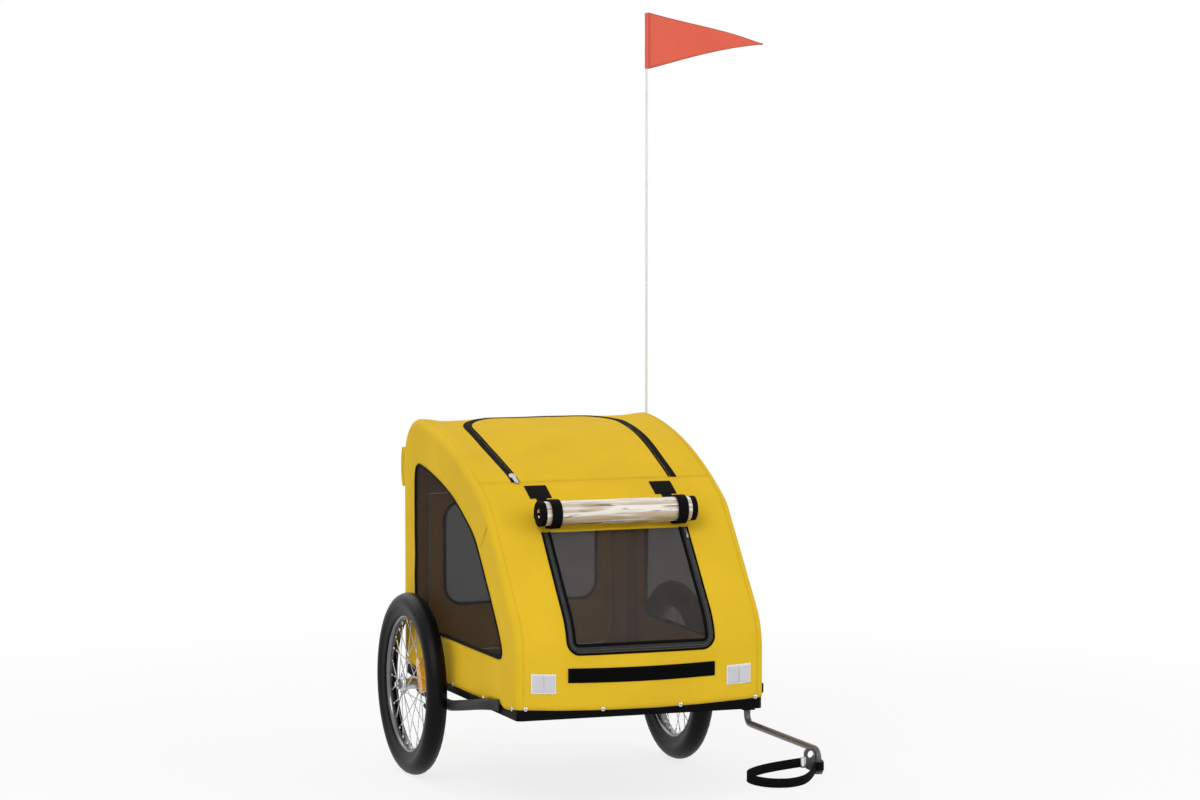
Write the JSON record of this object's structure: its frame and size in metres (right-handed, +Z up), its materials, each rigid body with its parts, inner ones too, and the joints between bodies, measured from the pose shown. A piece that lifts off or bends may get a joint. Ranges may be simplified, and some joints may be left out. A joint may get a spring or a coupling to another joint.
{
  "type": "dog bike trailer",
  "caption": "Two-wheeled bicycle trailer for a dog: cloth cabin on hoops with mesh windows, roof hatch, rolled rain cover, spoked wheels, side tow arm with safety strap, and a flag on a pole.",
  "frame": {"origin": "On the ground, midway between the tyres, straight under the axle.", "axes": "+Z is up, -Y is the way the trailer travels, +X is its left side, where the tow arm and the flag are."},
  "size_m": [0.9074, 1.2386, 1.668],
  "materials": {
    "frame": "satin black",
    "inner_frame": "plain drawn tube",
    "bow": "dark grey powder coat",
    "fitting": "black moulded",
    "floor": "black board",
    "cloth": "coated woven, yellow",
    "mesh": "open dark mesh",
    "tape": "black woven tape",
    "clear_sheet": "clear flexible sheet",
    "grey_reflector": "silver reflective patch",
    "bright_metal": "bright plated",
    "arm": "black powder coat",
    "webbing": "black webbing",
    "pole": "white fibreglass",
    "flag": "orange-red cloth",
    "tyre": "black rubber",
    "rim": "polished",
    "amber": "amber reflector"
  },
  "bodies": {
    "chassis": {"front_rail": "frame", "rear_rail": "frame", "right_side_rail": "frame", "left_side_rail": "frame", "floor_crossbars": "inner_frame", "floor_board": "floor", "axle_tube": "inner_frame", "right_wheel_bow": "bow", "left_wheel_bow": "bow", "bow_brackets": "inner_frame", "right_side_hoop": "inner_frame", "left_side_hoop": "inner_frame", "hoop_feet": "fitting", "roof_crossbars": "inner_frame", "front_panel": "cloth", "roof_panel": "cloth", "right_side_panel": "cloth", "left_side_panel": "cloth", "rear_panel": "cloth", "side_meshes": "mesh", "front_window_zip": "tape", "roof_zip": "tape", "rain_cover_roll": "clear_sheet", "roll_straps": "tape", "hook_strip": "tape", "front_reflectors": "grey_reflector", "hem_snaps": "bright_metal", "rear_cover_roll": "cloth", "flag_socket": "fitting", "arm_retaining_pin": "bright_metal", "axles": "bright_metal"},
    "front_window": {"front_mesh": "mesh", "front_mesh_binding": "tape"},
    "roof_hatch": {"roof_flap": "cloth"},
    "rear_door": {"rear_door": "cloth", "rear_mesh": "mesh"},
    "flag_mast": {"flag_pole": "pole", "flag": "flag"},
    "tow_arm": {"tow_arm": "arm"},
    "coupler": {"coupler": "bright_metal", "safety_strap": "webbing", "strap_clip": "bright_metal"},
    "right_wheel": {"right_tyre": "tyre", "right_rim": "rim", "right_hub_and_spokes": "bright_metal", "right_spoke_reflector": "amber"},
    "left_wheel": {"left_tyre": "tyre", "left_rim": "rim", "left_hub_and_spokes": "bright_metal", "left_spoke_reflector": "amber"}
  },
  "joints": [
    {"name": "right_wheel_spin", "type": "hinge", "parent": "chassis", "child": "right_wheel", "pos_m": [-0.31, 0, 0.2], "axis": [1, 0, 0], "continuous": true},
    {"name": "left_wheel_spin", "type": "hinge", "parent": "chassis", "child": "left_wheel", "pos_m": [0.31, 0, 0.2], "axis": [1, 0, 0], "continuous": true},
    {"name": "tow_arm_swing", "type": "hinge", "parent": "chassis", "child": "tow_arm", "pos_m": [0.2434, -0.5902, 0.2], "axis": [0, 0, -1], "range_deg": [0, 135]},
    {"name": "coupler_swivel", "type": "hinge", "parent": "tow_arm", "child": "coupler", "pos_m": [0.2434, -0.9712, 0.139], "axis": [0, 0, 1], "range_deg": [0, 100]},
    {"name": "flag_pole_lift", "type": "slide", "parent": "chassis", "child": "flag_mast", "axis": [0, 0, 1], "range_m": [0, 0.09]},
    {"name": "roof_hatch_open", "type": "hinge", "parent": "chassis", "child": "roof_hatch", "pos_m": [0, -0.32098, 0.66944], "axis": [1, 0, 0], "range_deg": [0, 100]},
    {"name": "front_window_open", "type": "hinge", "parent": "chassis", "child": "front_window", "pos_m": [0, -0.44363, 0.574], "axis": [-1, 0, 0], "range_deg": [0, 60]},
    {"name": "rear_door_open", "type": "hinge", "parent": "chassis", "child": "rear_door", "pos_m": [0, 0.165, 0.6], "axis": [1, 0, 0], "range_deg": [0, 110]}
  ]
}
